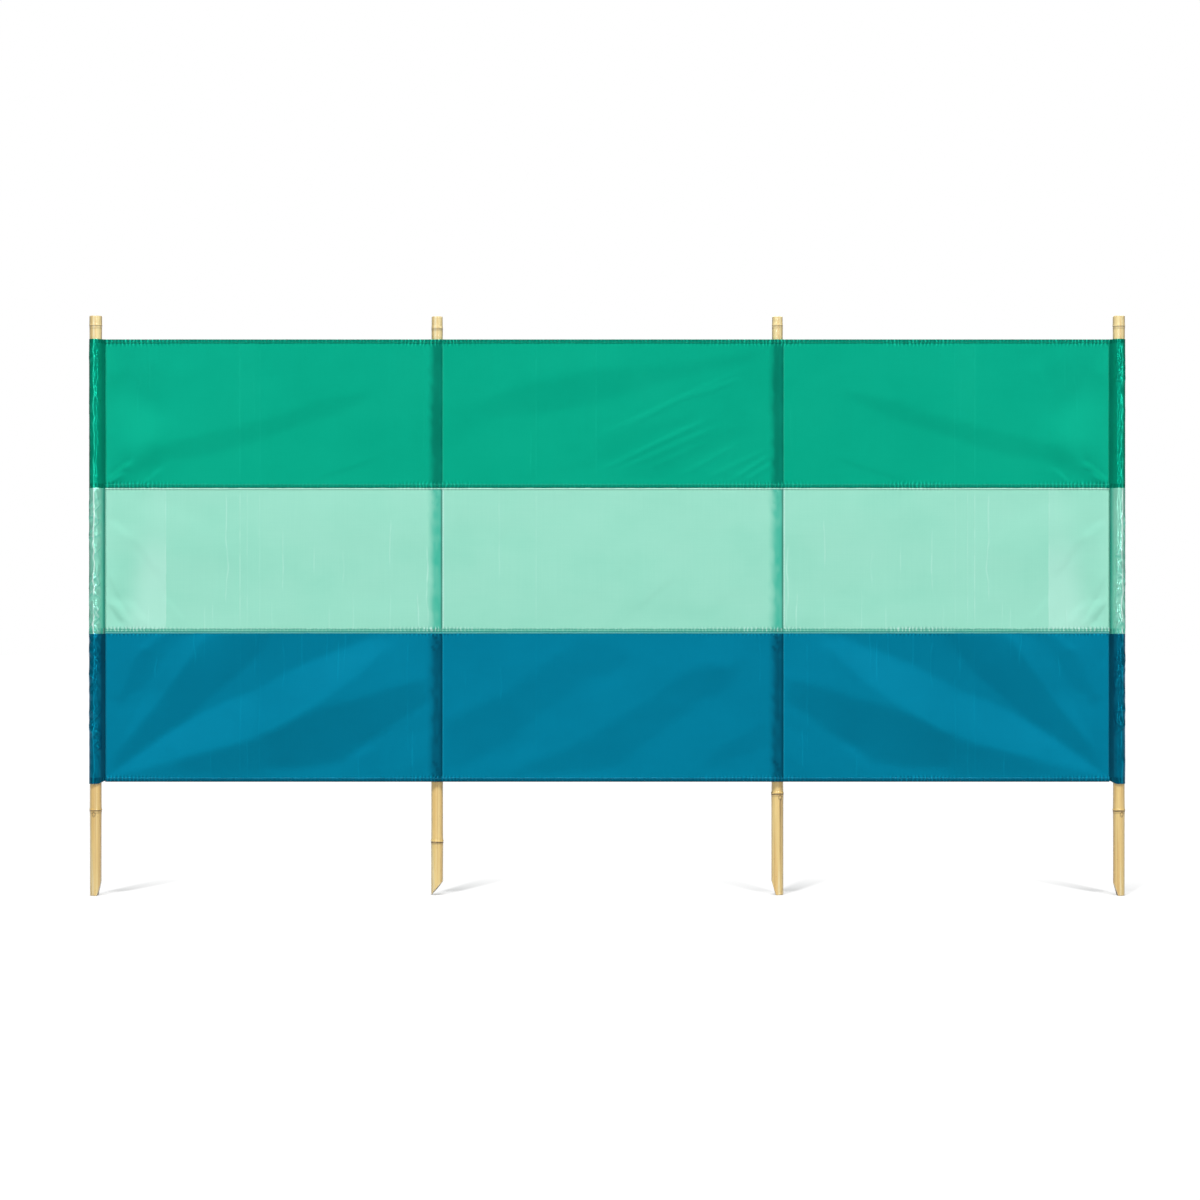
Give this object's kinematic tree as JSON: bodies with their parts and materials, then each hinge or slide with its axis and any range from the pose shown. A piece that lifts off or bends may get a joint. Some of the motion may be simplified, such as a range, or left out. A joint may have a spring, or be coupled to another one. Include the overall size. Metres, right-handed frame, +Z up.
{
  "type": "beach windbreak",
  "caption": "Long beach windbreak: a cloth in three horizontal stripes with sewn sleeves, held up by bamboo poles with slashed feet that push into the ground.",
  "frame": {"origin": "middle of the flat foot of the right inner pole, at the height of every pole's foot", "axes": "+X along the windbreak towards the right outer pole, -Y out of the smooth front of the cloth, +Z up the poles"},
  "size_m": [2.4016, 0.0486, 1.342],
  "materials": {
    "bamboo": "satin",
    "green_cloth": "satin",
    "mint_cloth": "satin",
    "blue_cloth": "satin"
  },
  "bodies": {
    "middle_bay": {"right_inner_pole": "bamboo", "right_inner_blue_sleeve": "blue_cloth", "right_inner_mint_sleeve": "mint_cloth", "right_inner_green_sleeve": "green_cloth", "middle_bottom_hem": "blue_cloth", "middle_blue_panel": "blue_cloth", "middle_mint_seam": "mint_cloth", "middle_mint_panel": "mint_cloth", "middle_green_seam": "green_cloth", "middle_green_panel": "green_cloth", "middle_top_hem": "green_cloth"},
    "left_bay": {"left_outer_pole": "bamboo", "left_outer_blue_sleeve": "blue_cloth", "left_outer_mint_sleeve": "mint_cloth", "left_outer_green_sleeve": "green_cloth", "left_inner_pole": "bamboo", "left_inner_blue_sleeve": "blue_cloth", "left_inner_mint_sleeve": "mint_cloth", "left_inner_green_sleeve": "green_cloth", "left_bottom_hem": "blue_cloth", "left_blue_panel": "blue_cloth", "left_mint_seam": "mint_cloth", "left_mint_panel": "mint_cloth", "left_green_seam": "green_cloth", "left_green_panel": "green_cloth", "left_top_hem": "green_cloth"},
    "right_bay": {"right_outer_pole": "bamboo", "right_outer_blue_sleeve": "blue_cloth", "right_outer_mint_sleeve": "mint_cloth", "right_outer_green_sleeve": "green_cloth", "right_bottom_hem": "blue_cloth", "right_blue_panel": "blue_cloth", "right_mint_seam": "mint_cloth", "right_mint_panel": "mint_cloth", "right_green_seam": "green_cloth", "right_green_panel": "green_cloth", "right_top_hem": "green_cloth"}
  },
  "joints": [
    {"name": "left_fold", "type": "hinge", "parent": "middle_bay", "child": "left_bay", "pos_m": [-0.7685, -0.0167, 0.6], "axis": [0, 0, 1], "range_deg": [-90, 90]},
    {"name": "right_fold", "type": "hinge", "parent": "middle_bay", "child": "right_bay", "pos_m": [0.0215, -0.0167, 0.6], "axis": [0, 0, 1], "range_deg": [-90, 90]}
  ]
}
